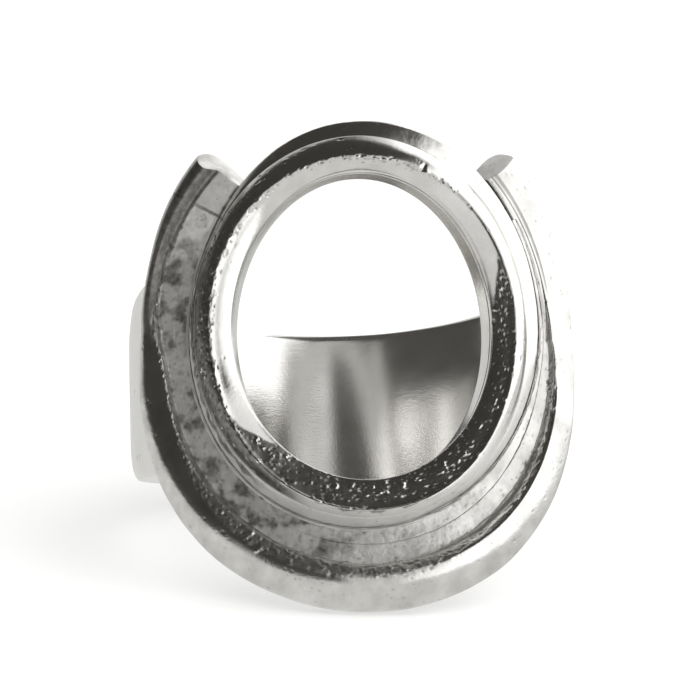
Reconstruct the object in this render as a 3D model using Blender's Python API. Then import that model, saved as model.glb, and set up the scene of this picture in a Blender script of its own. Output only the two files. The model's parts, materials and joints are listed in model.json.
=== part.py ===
"""Silver finger ring: an open oval hoop in a crescent collar, carried on a plain C-shaped band.

The ring is modelled upright, with the finger axis along local Z and the decorated front facing
local -Y.  A parent empty then leans it back until it stands on the bottom of the crescent and on
the lower back edge of the band, and moves it so that the origin is on the ground, under the
middle of the ring.  Lengths are in metres, +Z is up.
"""

import math

import bmesh
import bpy
from mathutils import Vector

MM = 0.001

# ---------------------------------------------------------------- driving dimensions
FINGER_RADIUS = 9.0 * MM           # inside of the band
BAND_THICKNESS = 1.7 * MM
BAND_TOP = 5.0 * MM                # upper rim, along the finger
BAND_LOW = -4.65 * MM              # lower rim, halfway between front and back
BAND_LOW_RISE = 0.17               # the lower rim climbs towards the back, so the band narrows
BAND_ROLL = 0.03                   # the band sits slightly turned behind the front, in radians
BAND_EDGE_CHAMFER = 0.18 * MM
BAND_CROWN_TOP = 0.60 * MM         # how far the outside rounds off towards the upper rim
BAND_CROWN_LOW = 0.35 * MM         # and towards the lower rim
BAND_LEG_ANGLE = math.radians(75)  # from the front, where the round band turns into a straight leg

FRONT_BEND_RADIUS = 22.0 * MM      # the whole front is curved round an upright axis
FRONT_BACK_Y = -9.45 * MM          # back surface of the front, on the centre line

EYE_HALF_WIDTH = 6.0 * MM          # oval opening inside the hoop
EYE_HALF_HEIGHT = 7.64 * MM
EYE_CENTRE_Z = 0.58 * MM

PLATE_REACH = 2.43 * MM            # width of the oval base plate, out from the eye
PLATE_REACH_RIGHT = 0.24 * MM      # extra on the right, the same amount less on the left
PLATE_REACH_TOP = 0.27 * MM        # extra at the top, the same amount less at the bottom
PLATE_REACH_CROWN = 0.10 * MM      # extra only round the top
PLATE_REACH_LOW_LEFT = 0.40 * MM   # a bulge towards the lower left
PLATE_REACH_LOW_RIGHT = -0.50 * MM   # and flatter towards the lower right
PLATE_REACH_UPPER_LEFT = -0.45 * MM  # and the upper left
PLATE_HEIGHT = 1.25 * MM
HOOP_REACH = 1.87 * MM             # width of the raised hoop on the plate
HOOP_REACH_TOP = 0.05 * MM
HOOP_HEIGHT = 2.15 * MM
RIDGE_REACH = 0.88 * MM            # ridge of the hoop; further out at the bottom, in at the top
RIDGE_REACH_BOTTOM = 0.75 * MM
RIDGE_REACH_TOP = 0.35 * MM

FOOT_REACH = 2.95 * MM             # joint line between channel floor and rim
FOOT_MARGIN = 0.20 * MM            # but stays this far from the base plate
WALL_REACH = 3.10 * MM             # where the channel ends at the rim's inner step
WALL_REACH_BOTTOM = 0.85 * MM
WALL_REACH_LEFT = -0.20 * MM       # less along the lower left arm
WALL_REACH_UPPER_LEFT = 0.88 * MM  # and more along the upper left arm
CREST_SHARE = 0.33                 # where the crest lies between inner step and outer edge
CREST_SHARE_LEFT = 0.13            # further out on the left, further in on the right
CREST_HEIGHT = 1.87 * MM           # at the bottom of the crescent
CREST_HEIGHT_SIDE = 1.27 * MM
STEP_RISE = 1.15 * MM              # inner step above the channel, at the bottom
STEP_RISE_SIDE = 0.38 * MM         # along the lower half of the arms
EDGE_REACH = 4.62 * MM             # outermost line of the crescent
EDGE_REACH_BOTTOM = 1.68 * MM
EDGE_REACH_TOP = 0.55 * MM
EDGE_REACH_UPPER_LEFT = 0.20 * MM
EDGE_HEIGHT = 0.88 * MM
EDGE_HEIGHT_SIDE = 0.80 * MM
EDGE_HEIGHT_RIGHT = 0.12 * MM      # extra on the right
FLOOR_HEIGHT = 0.42 * MM           # channel at the bottom
FLOOR_HEIGHT_SIDE = 0.80 * MM
RIGHT_ARM_FLOOR = 0.20 * MM        # the channel lies higher on the upper right arm
RIGHT_ARM_CREST = -0.15 * MM       # and the crest lower

SEAM_ANGLE = math.radians(36)      # where each tip is soldered on, above the horizontal
LEFT_TIP_ANGLE = math.radians(45.5)   # where the end face of a tip starts, at its crest
RIGHT_TIP_ANGLE = math.radians(48.5)
TIP_SLANT = math.radians(5.0)      # how much further on the back of the end face lies
SEAM_THICKNESS = math.radians(0.9)

JOINT_GAP = 0.05 * MM              # hairline between neighbouring pieces
BEAD_WIDTH = 0.18 * MM             # solder fillet between base plate and channel floor
BEAD_HEIGHT = 0.12 * MM
PAD_THICKNESS = 0.30 * MM          # solder between band end and front
PAD_MARGIN = 0.20 * MM
PAD_CORNER = 0.75 * MM             # outer top corner, drawn in under the rounded band
PAD_CORNER_RISE = 1.60 * MM

LOOP_STEPS = 80
CRESCENT_STEPS = 64
BAND_STEPS = 56
LEG_STEPS = 5
TIP_STEPS = 5

# ---------------------------------------------------------------- colours
SILVER_BRIGHT = (0.80, 0.79, 0.77, 1.0)
SILVER_MID = (0.66, 0.65, 0.63, 1.0)
SILVER_DARK = (0.46, 0.45, 0.43, 1.0)
SOLDER_GREY = (0.56, 0.55, 0.52, 1.0)


# ---------------------------------------------------------------- the curves of the front
def below(theta):
    """How far an angle points downwards, 0 to 1."""
    return max(0.0, -math.sin(theta))


def above(theta):
    """How far an angle points upwards, 0 to 1."""
    return max(0.0, math.sin(theta))


def leftward(theta):
    """How far an angle points to the left, 0 to 1."""
    return max(0.0, -math.cos(theta))


def blend(theta, side, bottom):
    """A size that changes from the sides and tips to the bottom of the crescent."""
    return side + (bottom - side) * below(theta) ** 2


def plate_reach(theta):
    left = leftward(theta)
    right = max(0.0, math.cos(theta))
    swing = PLATE_REACH_RIGHT * math.cos(theta) + PLATE_REACH_TOP * math.sin(theta)
    crown = PLATE_REACH_CROWN * above(theta) ** 3
    low = below(theta) * (PLATE_REACH_LOW_LEFT * left + PLATE_REACH_LOW_RIGHT * right * below(theta))
    upper = PLATE_REACH_UPPER_LEFT * left ** 2 * above(theta)
    return PLATE_REACH + swing + crown + low + upper


def hoop_reach(theta):
    return HOOP_REACH + HOOP_REACH_TOP * math.sin(theta)


def ridge_reach(theta):
    bottom = RIDGE_REACH_BOTTOM * below(theta) ** 2.5
    return RIDGE_REACH + bottom - RIDGE_REACH_TOP * above(theta) ** 4


def foot_reach(theta):
    return max(FOOT_REACH, plate_reach(theta) + FOOT_MARGIN)


def wall_reach(theta):
    upper = 0.5 * (1.0 + math.tanh((math.sin(theta) + 0.06) / 0.12))
    left = leftward(theta) * (WALL_REACH_LEFT + WALL_REACH_UPPER_LEFT * upper)
    return WALL_REACH + WALL_REACH_BOTTOM * below(theta) ** 0.6 + left


def edge_reach(theta):
    top = EDGE_REACH_TOP * above(theta) ** 2
    top += EDGE_REACH_UPPER_LEFT * leftward(theta) * above(theta)
    return EDGE_REACH + EDGE_REACH_BOTTOM * below(theta) ** 1.15 + top


def crest_reach(theta):
    wall = wall_reach(theta)
    share = CREST_SHARE - CREST_SHARE_LEFT * math.cos(theta)
    return wall + share * (edge_reach(theta) - wall)


def right_arm(theta):
    """1 along the upper right arm of the crescent, 0 elsewhere."""
    upper = 0.5 * (1.0 + math.tanh((math.sin(theta) + 0.12) / 0.12))
    return upper * min(1.0, 2.0 * max(0.0, math.cos(theta)))


def crest_height(theta):
    return blend(theta, CREST_HEIGHT_SIDE, CREST_HEIGHT) + RIGHT_ARM_CREST * right_arm(theta)


def edge_height(theta):
    right = EDGE_HEIGHT_RIGHT * max(0.0, math.cos(theta))
    return blend(theta, EDGE_HEIGHT_SIDE, EDGE_HEIGHT) + right


def floor_height(theta):
    return blend(theta, FLOOR_HEIGHT_SIDE, FLOOR_HEIGHT) + RIGHT_ARM_FLOOR * right_arm(theta)


def step_rise(theta):
    """Height of the rim's inner step, which dies out along the upper half of both arms."""
    start = 0.20 - 0.10 * math.cos(theta)
    faded = 0.5 * (1.0 + math.tanh((math.sin(theta) - start) / 0.12))
    return blend(theta, STEP_RISE_SIDE, STEP_RISE) * (1.0 - 0.7 * faded)


def front_point(theta, reach, height):
    """Point of the bent front, reach out from the eye's edge and height above the back."""
    cos_t = math.cos(theta)
    sin_t = math.sin(theta)
    normal = Vector((EYE_HALF_HEIGHT * cos_t, EYE_HALF_WIDTH * sin_t)).normalized()
    across = EYE_HALF_WIDTH * cos_t + reach * normal.x
    up = EYE_CENTRE_Z + EYE_HALF_HEIGHT * sin_t + reach * normal.y
    return bent(across, up, height)


def bent(across, up, height):
    """Point of the bent front, given by its developed width, its height up and its depth."""
    angle = across / FRONT_BEND_RADIUS
    radius = FRONT_BEND_RADIUS + height
    centre_y = FRONT_BACK_Y + FRONT_BEND_RADIUS
    return Vector((radius * math.sin(angle), centre_y - radius * math.cos(angle), up))


# ---------------------------------------------------------------- cross-sections (reach, height)
def plate_section(theta):
    edge = plate_reach(theta)
    top = PLATE_HEIGHT
    hoop = hoop_reach(theta)
    ledge = edge - hoop
    drop = top - floor_height(theta) - 0.04 * MM
    return [
        (0.12 * MM, 0.0),
        (0.0, 0.14 * MM),
        (0.0, top),
        (hoop, top),
        (hoop + 0.35 * ledge, top - 0.28 * drop),
        (hoop + 0.70 * ledge, top - 0.66 * drop),
        (edge, top - drop),
        (edge, 0.16 * MM),
        (edge - 0.10 * MM, 0.0),
    ]


def hoop_section(theta):
    edge = hoop_reach(theta)
    ridge = ridge_reach(theta)
    fall = edge - ridge
    foot = PLATE_HEIGHT + JOINT_GAP
    top = HOOP_HEIGHT
    return [
        (0.04 * MM, foot),
        (0.0, foot + 0.10 * MM),
        (0.04 * MM, foot + 0.28 * MM),
        (ridge - 0.16 * MM, top - 0.18 * MM),
        (ridge, top - 0.03 * MM),
        (ridge + 0.14 * fall, top),
        (ridge + 0.42 * fall, top - 0.16 * MM),
        (ridge + 0.70 * fall, top - 0.38 * MM),
        (ridge + 0.92 * fall, top - 0.64 * MM),
        (edge, foot + 0.04 * MM),
        (edge - 0.04 * MM, foot),
    ]


def floor_section(theta):
    inner = plate_reach(theta) + JOINT_GAP
    outer = foot_reach(theta) - JOINT_GAP / 2
    top = floor_height(theta)
    return [
        (inner, 0.0),
        (inner, top),
        ((inner + outer) / 2, top - 0.03 * MM),
        (outer, top),
        (outer, 0.0),
    ]


def rim_top(theta):
    """The visible upper line of the rim: channel, inner step, rolled crest and outer side."""
    wall = wall_reach(theta)
    crest = crest_reach(theta)
    edge = edge_reach(theta)
    low = floor_height(theta)
    rise = step_rise(theta)
    step = low + rise
    high = crest_height(theta)
    shoulder = wall + min(0.20 * MM, 0.5 * (crest - wall))
    drop = high - edge_height(theta)
    fall = edge - crest
    return [
        (foot_reach(theta) + JOINT_GAP / 2, low + 0.03 * MM),
        (wall - 0.06 * MM, low + 0.05 * MM),
        (wall + 0.02 * MM, low + 0.05 * MM + 0.1 * rise),
        (wall + 0.50 * (shoulder - wall), step - 0.15 * rise),
        (shoulder, step),
        ((shoulder + crest) / 2, step + 0.68 * (high - step)),
        (crest, high),
        (crest + 0.40 * fall, high - blend(theta, 0.10, 0.15) * drop),
        (crest + 0.74 * fall, high - 0.50 * drop),
        (edge, edge_height(theta)),
        (edge - 0.05 * MM, 0.36 * MM),
        (edge - 0.35 * MM, 0.0),
    ]


def rim_section(theta):
    return rim_top(theta) + [(foot_reach(theta) + JOINT_GAP / 2, 0.0)]


def tip_section(theta):
    """Floor and rim in one with a rounded back, for the tips and the seams in front of them."""
    inner = plate_reach(theta) + JOINT_GAP
    edge = edge_reach(theta)
    start = [
        (inner + 0.55 * MM, 0.0),
        (inner + 0.16 * MM, 0.10 * MM),
        (inner, floor_height(theta) - 0.04 * MM),
    ]
    end = [
        (edge - 0.10 * MM, 0.36 * MM),
        (edge - 0.36 * MM, 0.14 * MM),
        (edge - 0.75 * MM, 0.0),
    ]
    return start + rim_top(theta)[1:-2] + end


def bead_section(theta):
    """Solder bead in the corner between the base plate and the channel floor."""
    inner = plate_reach(theta) + JOINT_GAP
    low = floor_height(theta) + JOINT_GAP
    high = low + BEAD_HEIGHT
    width = min(BEAD_WIDTH, foot_reach(theta) - inner)
    return [
        (inner, low),
        (inner + width, low),
        (inner + 0.4 * width, low + 0.3 * (high - low)),
        (inner, high),
    ]


# ---------------------------------------------------------------- building helpers
def loft(rings, closed):
    """Skin a list of point rings, joined end to end or capped at both ends."""
    bm = bmesh.new()
    loops = [[bm.verts.new(point) for point in ring] for ring in rings]
    count = len(loops[0])
    spans = len(loops) if closed else len(loops) - 1
    for i in range(spans):
        this = loops[i]
        following = loops[(i + 1) % len(loops)]
        for j in range(count):
            k = (j + 1) % count
            bm.faces.new((this[j], this[k], following[k], following[j]))
    if not closed:
        bm.faces.new(loops[0])
        bm.faces.new(loops[-1])
    bmesh.ops.recalc_face_normals(bm, faces=bm.faces)
    return bm


def metal(name, colour, roughness):
    material = bpy.data.materials.new(name)
    material.use_nodes = True
    shader = material.node_tree.nodes["Principled BSDF"]
    shader.inputs["Base Color"].default_value = colour
    shader.inputs["Roughness"].default_value = roughness
    shader.inputs["Metallic"].default_value = 1.0
    return material


def add_part(name, bm, origin, material, parent):
    """Turn a mesh into a named object whose origin is its own reference point."""
    bmesh.ops.translate(bm, verts=bm.verts, vec=-origin)
    mesh = bpy.data.meshes.new(name)
    bm.to_mesh(mesh)
    bm.free()
    mesh.shade_smooth()
    mesh.set_sharp_from_angle(angle=math.radians(32))
    mesh.materials.append(material)
    part = bpy.data.objects.new(name, mesh)
    bpy.context.scene.collection.objects.link(part)
    part.parent = parent
    part.location = origin
    return part


def ring_of(theta, section):
    return [front_point(theta, reach, height) for reach, height in section]


def closed_sweep(section):
    angles = [2 * math.pi * i / LOOP_STEPS for i in range(LOOP_STEPS)]
    return loft([ring_of(theta, section(theta)) for theta in angles], closed=True)


def open_sweep(section, start, end, steps):
    angles = [start + (end - start) * i / steps for i in range(steps + 1)]
    return loft([ring_of(theta, section(theta)) for theta in angles], closed=False)


def side_angle(angle, side):
    """Mirror an angle of the right-hand side (+1) onto the left-hand side (-1)."""
    return angle if side > 0 else math.pi - angle


def slanted_ring(angle, slant, side):
    """A ring of the tip whose back runs further on than its crest, by up to the slant."""
    points = []
    for index, (_, height) in enumerate(tip_section(side_angle(angle, side))):
        share = 1.0 - height / crest_height(angle)
        theta = side_angle(angle + slant * share, side)
        reach = tip_section(theta)[index][0]
        points.append(front_point(theta, reach, height))
    return points


def build_tip(side):
    """One tip of the crescent, from its solder seam to its slanted end face."""
    rings = []
    start = SEAM_ANGLE + SEAM_THICKNESS
    end = RIGHT_TIP_ANGLE if side > 0 else LEFT_TIP_ANGLE
    for i in range(TIP_STEPS + 1):
        share = i / TIP_STEPS
        angle = start + (end - start) * share
        rings.append(slanted_ring(angle, TIP_SLANT * share, side))
    return loft(rings, closed=False)


def build_seam(side):
    """Solder line across the crescent's arm, between the arm and its tip."""
    hairline = JOINT_GAP / (EYE_HALF_WIDTH + WALL_REACH)
    start = side_angle(SEAM_ANGLE + hairline, side)
    end = side_angle(SEAM_ANGLE + SEAM_THICKNESS - hairline, side)
    return open_sweep(tip_section, start, end, 2)


# ---------------------------------------------------------------- the band
def leg_length(radius):
    """Length of the straight leg that starts on a circle and stops short of the front."""
    stop = FRONT_BEND_RADIUS - PAD_THICKNESS - 2 * JOINT_GAP
    start_x = radius * math.sin(BAND_LEG_ANGLE)
    start_y = -radius * math.cos(BAND_LEG_ANGLE) - (FRONT_BACK_Y + FRONT_BEND_RADIUS)
    step_x = -math.cos(BAND_LEG_ANGLE)
    step_y = -math.sin(BAND_LEG_ANGLE)
    half_b = start_x * step_x + start_y * step_y
    c = start_x ** 2 + start_y ** 2 - stop ** 2
    return -half_b + math.sqrt(half_b ** 2 - c)


def band_plan(station, radius):
    """Plan position on the band and how much it is turned; station 0 is the back, +-1 the ends."""
    side = math.copysign(1.0, station)
    arc = math.pi - BAND_LEG_ANGLE
    arc_share = BAND_STEPS / (BAND_STEPS + 2 * LEG_STEPS)
    travel = abs(station)
    if travel <= arc_share:
        angle = math.pi - arc * travel / arc_share
        return side * radius * math.sin(angle), -radius * math.cos(angle), 1.0
    leg = (travel - arc_share) / (1.0 - arc_share)
    along = leg_length(radius) * leg
    across = radius * math.sin(BAND_LEG_ANGLE) - along * math.cos(BAND_LEG_ANGLE)
    forward = -radius * math.cos(BAND_LEG_ANGLE) - along * math.sin(BAND_LEG_ANGLE)
    return side * across, forward, 1.0 - leg


def band_low(y):
    return BAND_LOW + BAND_LOW_RISE * y


def band_point(station, radius, rim, inset):
    """Point of the band, inset from its upper (+1) or lower (-1) rim."""
    x, y, turned = band_plan(station, radius)
    up = BAND_TOP - inset if rim > 0 else band_low(y) + inset
    return Vector((x - BAND_ROLL * up * turned, y, up + BAND_ROLL * x))


def build_band():
    inner = FINGER_RADIUS
    outer = FINGER_RADIUS + BAND_THICKNESS
    cut = BAND_EDGE_CHAMFER
    section = [
        (inner, -1, cut),
        (inner, 1, cut),
        (inner + cut, 1, 0.0),
        (outer - BAND_CROWN_TOP, 1, 0.0),
        (outer - 0.35 * BAND_CROWN_TOP, 1, 0.50 * MM),
        (outer, 1, 2.00 * MM),
        (outer, -1, 1.30 * MM),
        (outer - 0.35 * BAND_CROWN_LOW, -1, 0.40 * MM),
        (outer - BAND_CROWN_LOW, -1, 0.0),
        (inner + cut, -1, 0.0),
    ]
    steps = BAND_STEPS + 2 * LEG_STEPS
    rings = []
    for i in range(steps + 1):
        station = 2.0 * i / steps - 1.0
        rings.append([band_point(station, radius, rim, inset) for radius, rim, inset in section])
    return loft(rings, closed=False)


def pad_span():
    """Developed width, from and to, that a band end covers on the back of the front."""
    centre_y = FRONT_BACK_Y + FRONT_BEND_RADIUS
    spans = []
    for radius in (FINGER_RADIUS, FINGER_RADIUS + BAND_THICKNESS):
        x, y, _ = band_plan(1.0, radius)
        spans.append(FRONT_BEND_RADIUS * math.atan2(x, centre_y - y))
    return min(spans), max(spans)


def build_pad(side):
    """Solder joint between one band end and the back of the front."""
    start, end = pad_span()
    start -= PAD_MARGIN
    end += PAD_MARGIN
    low = -JOINT_GAP - PAD_THICKNESS
    high = -JOINT_GAP
    round_off = 0.10 * MM

    def section(outer):
        return [
            (start, low + round_off),
            (start, high),
            ((start + outer) / 2, high),
            (outer, high),
            (outer, low + round_off),
            (outer - round_off, low),
            ((start + outer) / 2, low),
            (start + round_off, low),
        ]

    x, y, _ = band_plan(side, FINGER_RADIUS + BAND_THICKNESS / 2)
    bottom = band_low(y) + BAND_ROLL * x - PAD_MARGIN
    top = BAND_TOP + BAND_ROLL * x + PAD_MARGIN
    rings = []
    drops = (top - bottom, (top - bottom) / 2, PAD_CORNER_RISE, PAD_CORNER_RISE / 2, 0.0)
    for down in drops:
        drawn_in = PAD_CORNER * max(0.0, 1.0 - down / PAD_CORNER_RISE) ** 1.5
        outline = section(end - drawn_in)
        rings.append([bent(side * across, top - down, height) for across, height in outline])
    return loft(rings, closed=False)


def lean_angle():
    """Lean at which the crescent's bottom and the band's lower back edge are level."""
    bottom = front_point(-math.pi / 2, edge_reach(-math.pi / 2), EDGE_HEIGHT)
    back_y = FINGER_RADIUS + BAND_THICKNESS - BAND_CROWN_LOW
    return math.atan2(band_low(back_y) - bottom.z, back_y - bottom.y)


def stand_on_origin(stance, parts):
    """Move the stance so that the ring stands on the ground, centred over the origin."""
    bpy.context.view_layer.update()
    corners = [part.matrix_world @ vertex.co for part in parts for vertex in part.data.vertices]
    low = [min(corner[axis] for corner in corners) for axis in range(3)]
    high = [max(corner[axis] for corner in corners) for axis in range(3)]
    stance.location = (-(low[0] + high[0]) / 2, -(low[1] + high[1]) / 2, -low[2])
    bpy.context.view_layer.update()


# ---------------------------------------------------------------- the ring
def build():
    for old in list(bpy.data.objects):
        bpy.data.objects.remove(old, do_unlink=True)

    stance = bpy.data.objects.new("ring_stance", None)
    bpy.context.scene.collection.objects.link(stance)
    stance.rotation_euler = (-lean_angle(), 0.0, 0.0)

    eye_centre = bent(0.0, EYE_CENTRE_Z, 0.0)
    bottom = -math.pi / 2
    crescent_start = math.pi - SEAM_ANGLE
    crescent_end = 2 * math.pi + SEAM_ANGLE

    add_part(
        "hoop_plate",
        closed_sweep(plate_section),
        eye_centre,
        metal("hoop_plate_silver", SILVER_BRIGHT, 0.22),
        stance,
    )
    add_part(
        "oval_hoop",
        closed_sweep(hoop_section),
        eye_centre,
        metal("oval_hoop_silver", SILVER_MID, 0.30),
        stance,
    )
    add_part(
        "crescent_floor",
        open_sweep(floor_section, crescent_start, crescent_end, CRESCENT_STEPS),
        front_point(bottom, FOOT_REACH, 0.0),
        metal("crescent_floor_silver", SILVER_DARK, 0.48),
        stance,
    )
    add_part(
        "crescent_rim",
        open_sweep(rim_section, crescent_start, crescent_end, CRESCENT_STEPS),
        front_point(bottom, edge_reach(bottom), 0.0),
        metal("crescent_rim_silver", SILVER_MID, 0.32),
        stance,
    )
    add_part(
        "hoop_solder",
        open_sweep(bead_section, crescent_start, crescent_end, CRESCENT_STEPS),
        front_point(bottom, plate_reach(bottom), FLOOR_HEIGHT),
        metal("hoop_solder_grey", SOLDER_GREY, 0.45),
        stance,
    )
    for side, word in ((-1, "left"), (1, "right")):
        seam = side_angle(SEAM_ANGLE, side)
        add_part(
            word + "_tip",
            build_tip(side),
            front_point(seam, crest_reach(seam), 0.0),
            metal(word + "_tip_silver", SILVER_MID, 0.34),
            stance,
        )
        add_part(
            word + "_tip_solder",
            build_seam(side),
            front_point(seam, crest_reach(seam), 0.0),
            metal(word + "_tip_solder_grey", SOLDER_GREY, 0.45),
            stance,
        )
        start, end = pad_span()
        add_part(
            word + "_band_solder",
            build_pad(side),
            bent(side * (start + end) / 2, 0.0, 0.0),
            metal(word + "_band_solder_grey", SOLDER_GREY, 0.45),
            stance,
        )
    add_part(
        "shank_band",
        build_band(),
        Vector((0.0, 0.0, 0.0)),
        metal("shank_band_silver", SILVER_BRIGHT, 0.16),
        stance,
    )
    stand_on_origin(stance, stance.children)


build()
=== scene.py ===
"""Looks of the silver finger ring: fine hand-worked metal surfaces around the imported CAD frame."""

import json
import math

import bpy
import numpy as np
from mathutils import Matrix, Vector


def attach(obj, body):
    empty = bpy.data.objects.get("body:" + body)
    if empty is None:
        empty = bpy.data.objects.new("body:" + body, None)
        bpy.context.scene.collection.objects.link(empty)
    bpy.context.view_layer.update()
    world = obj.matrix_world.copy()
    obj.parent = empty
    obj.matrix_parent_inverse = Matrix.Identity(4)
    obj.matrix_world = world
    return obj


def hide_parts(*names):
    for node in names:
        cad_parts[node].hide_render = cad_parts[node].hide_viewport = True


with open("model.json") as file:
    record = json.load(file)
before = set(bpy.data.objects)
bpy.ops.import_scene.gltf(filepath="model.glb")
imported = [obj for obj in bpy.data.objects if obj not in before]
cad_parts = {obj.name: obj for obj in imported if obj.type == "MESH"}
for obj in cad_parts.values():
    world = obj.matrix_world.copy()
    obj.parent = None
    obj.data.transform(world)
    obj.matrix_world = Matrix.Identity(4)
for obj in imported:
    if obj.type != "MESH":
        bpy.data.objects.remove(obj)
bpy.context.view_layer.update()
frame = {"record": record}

MM = 0.001

# ---------------------------------------------------------------- dimensions, in millimetres
FINGER_RADIUS = 9.0
BAND_THICKNESS = 1.7
BAND_TOP = 5.0
BAND_LOW = -4.65
BAND_LOW_RISE = 0.17
BAND_ROLL = 0.03
BAND_CROWN_TOP = 0.60
BAND_CROWN_LOW = 0.35
BAND_LEG_ANGLE = math.radians(75)
FRONT_BEND_RADIUS = 22.0
FRONT_BACK_Y = -9.45
EYE_HALF_WIDTH = 6.0
EYE_HALF_HEIGHT = 7.64
EYE_CENTRE_Z = 0.58
# reach is counted outwards from the edge of the oval eye, height from the back of the front
PLATE_REACH = 2.43
PLATE_REACH_RIGHT = 0.24
PLATE_REACH_TOP = 0.27
PLATE_REACH_CROWN = 0.10
PLATE_REACH_LOW_LEFT = 0.40
PLATE_REACH_LOW_RIGHT = -0.50
PLATE_REACH_UPPER_LEFT = -0.45
PLATE_HEIGHT = 1.25
HOOP_REACH = 1.87
HOOP_REACH_TOP = 0.05
HOOP_HEIGHT = 2.15
RIDGE_REACH = 0.88
RIDGE_REACH_BOTTOM = 0.75
RIDGE_REACH_TOP = 0.35
FOOT_REACH = 2.95
FOOT_MARGIN = 0.20
WALL_REACH = 3.10
WALL_REACH_BOTTOM = 0.85
WALL_REACH_LEFT = -0.20
WALL_REACH_UPPER_LEFT = 0.88
EDGE_REACH = 4.62
EDGE_REACH_BOTTOM = 1.68
EDGE_REACH_TOP = 0.55
EDGE_REACH_UPPER_LEFT = 0.20
EDGE_HEIGHT_BOTTOM = 0.88
EDGE_HEIGHT_SIDE = 0.80
EDGE_HEIGHT_RIGHT = 0.12
CREST_SHARE = 0.33
CREST_SHARE_LEFT = 0.13
CREST_HEIGHT_BOTTOM = 1.87
CREST_HEIGHT_SIDE = 1.27
FLOOR_HEIGHT_BOTTOM = 0.42
FLOOR_HEIGHT_SIDE = 0.80
STEP_RISE_BOTTOM = 1.15
STEP_RISE_SIDE = 0.38
RIGHT_ARM_FLOOR = 0.20
RIGHT_ARM_CREST = -0.15
KNEE_WIDTH = 0.12
SEAM_ANGLE = math.radians(36)
SEAM_THICKNESS = math.radians(0.9)
LEFT_TIP_ANGLE = math.radians(45.5)
RIGHT_TIP_ANGLE = math.radians(48.5)
TIP_SLANT = math.radians(5.0)
GAP = 0.02
PAD_THICKNESS = 0.30
PAD_MARGIN = 0.20
PAD_CORNER = 0.75
PAD_CORNER_RISE = 1.6


# ---------------------------------------------------------------- where the ring stands
def rim_place(up):
    """Middle of the band's back on one of its rims, in the ring's own axes."""
    return Vector((-BAND_ROLL * up, FINGER_RADIUS + BAND_THICKNESS / 2, up)) * MM


def turned_frame(first, second, axis):
    """Square axes made from the line between two points and one more direction."""
    along = (second - first).normalized()
    across = (axis - along * axis.dot(along)).normalized()
    return Matrix((along, across, along.cross(across))).transposed()


def ring_pose():
    """The ring's own axes in the frame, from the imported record's two rim mounts."""
    mounts = {m["name"]: m for m in frame["record"]["mounts"]}
    low_up = BAND_LOW + BAND_LOW_RISE * (FINGER_RADIUS + BAND_THICKNESS / 2)
    own_low, own_top = rim_place(low_up), rim_place(BAND_TOP)
    low = Vector(mounts["band_lower_rim"]["pos_m"])
    top = Vector(mounts["band_upper_rim"]["pos_m"])
    own = turned_frame(own_low, own_top, Vector((BAND_ROLL, BAND_LOW_RISE, -1.0)))
    placed = turned_frame(low, top, Vector(mounts["band_lower_rim"]["axis"]))
    turn = placed @ own.transposed()
    pose = turn.to_4x4()
    pose.translation = top - turn @ own_top
    return pose


POSE = ring_pose()


# ---------------------------------------------------------------- noise
_rng = np.random.RandomState(23)
_PERM = np.tile(_rng.permutation(256), 3)
_GRAD = _rng.normal(size=(256, 3))
_GRAD /= np.linalg.norm(_GRAD, axis=1)[:, None]


def perlin(points, scale, seed=0):
    """Smooth noise from about -1 to 1; scale is the size of its lumps in millimetres."""
    p = points / scale + np.array([seed * 13.7, seed * 7.3, seed * 3.1])
    cell = np.floor(p).astype(np.int64)
    f = p - cell
    fade = f * f * f * (f * (f * 6 - 15) + 10)
    cell &= 255
    total = np.zeros(p.shape[:-1])
    for i in (0, 1):
        for j in (0, 1):
            for k in (0, 1):
                a = _PERM[cell[..., 0] + i] + cell[..., 1] + j
                b = _PERM[a] + cell[..., 2] + k
                g = _GRAD[_PERM[b]]
                corner = f - np.array([i, j, k])
                weight = np.ones(p.shape[:-1])
                for axis, bit in enumerate((i, j, k)):
                    share = fade[..., axis]
                    weight = weight * (share if bit else 1 - share)
                total += weight * (g * corner).sum(-1)
    return total * 1.6


def layered(points, scale, seed, octaves=3, gain=0.5):
    """Noise with finer noise on top."""
    total = np.zeros(points.shape[:-1])
    size = 1.0
    for octave in range(octaves):
        total += size * perlin(points, scale / 2 ** octave, seed + octave * 5)
        size *= gain
    return total


def step(low, high, value):
    """0 up to low, 1 from high on, and smooth between."""
    t = np.clip((value - low) / (high - low), 0.0, 1.0)
    return t * t * (3 - 2 * t)


def bump(centre, width, value):
    """1 at the centre, falling to nothing on both sides."""
    return np.exp(-((value - centre) / width) ** 2)


# ---------------------------------------------------------------- the curves of the front
def below(theta):
    return np.maximum(0.0, -np.sin(theta))


def above(theta):
    return np.maximum(0.0, np.sin(theta))


def leftward(theta):
    return np.maximum(0.0, -np.cos(theta))


def blend(theta, side, bottom):
    """A size that changes from the sides and tips to the bottom."""
    return side + (bottom - side) * below(theta) ** 2


def knee(value):
    """0 below zero and 1 above it, with a soft change between."""
    return 0.5 * (1.0 + np.tanh(value / KNEE_WIDTH))


def plate_reach(theta):
    left = leftward(theta)
    right = np.maximum(0.0, np.cos(theta))
    low = below(theta)
    top = above(theta)
    swing = PLATE_REACH_RIGHT * np.cos(theta) + PLATE_REACH_TOP * np.sin(theta)
    lower = low * (PLATE_REACH_LOW_LEFT * left + PLATE_REACH_LOW_RIGHT * right * low)
    upper = PLATE_REACH_CROWN * top ** 3 + PLATE_REACH_UPPER_LEFT * left ** 2 * top
    return PLATE_REACH + swing + lower + upper


def hoop_reach(theta):
    return HOOP_REACH + HOOP_REACH_TOP * np.sin(theta)


def ridge_reach(theta):
    bottom = RIDGE_REACH_BOTTOM * below(theta) ** 2.5
    return RIDGE_REACH + bottom - RIDGE_REACH_TOP * above(theta) ** 4


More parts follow.
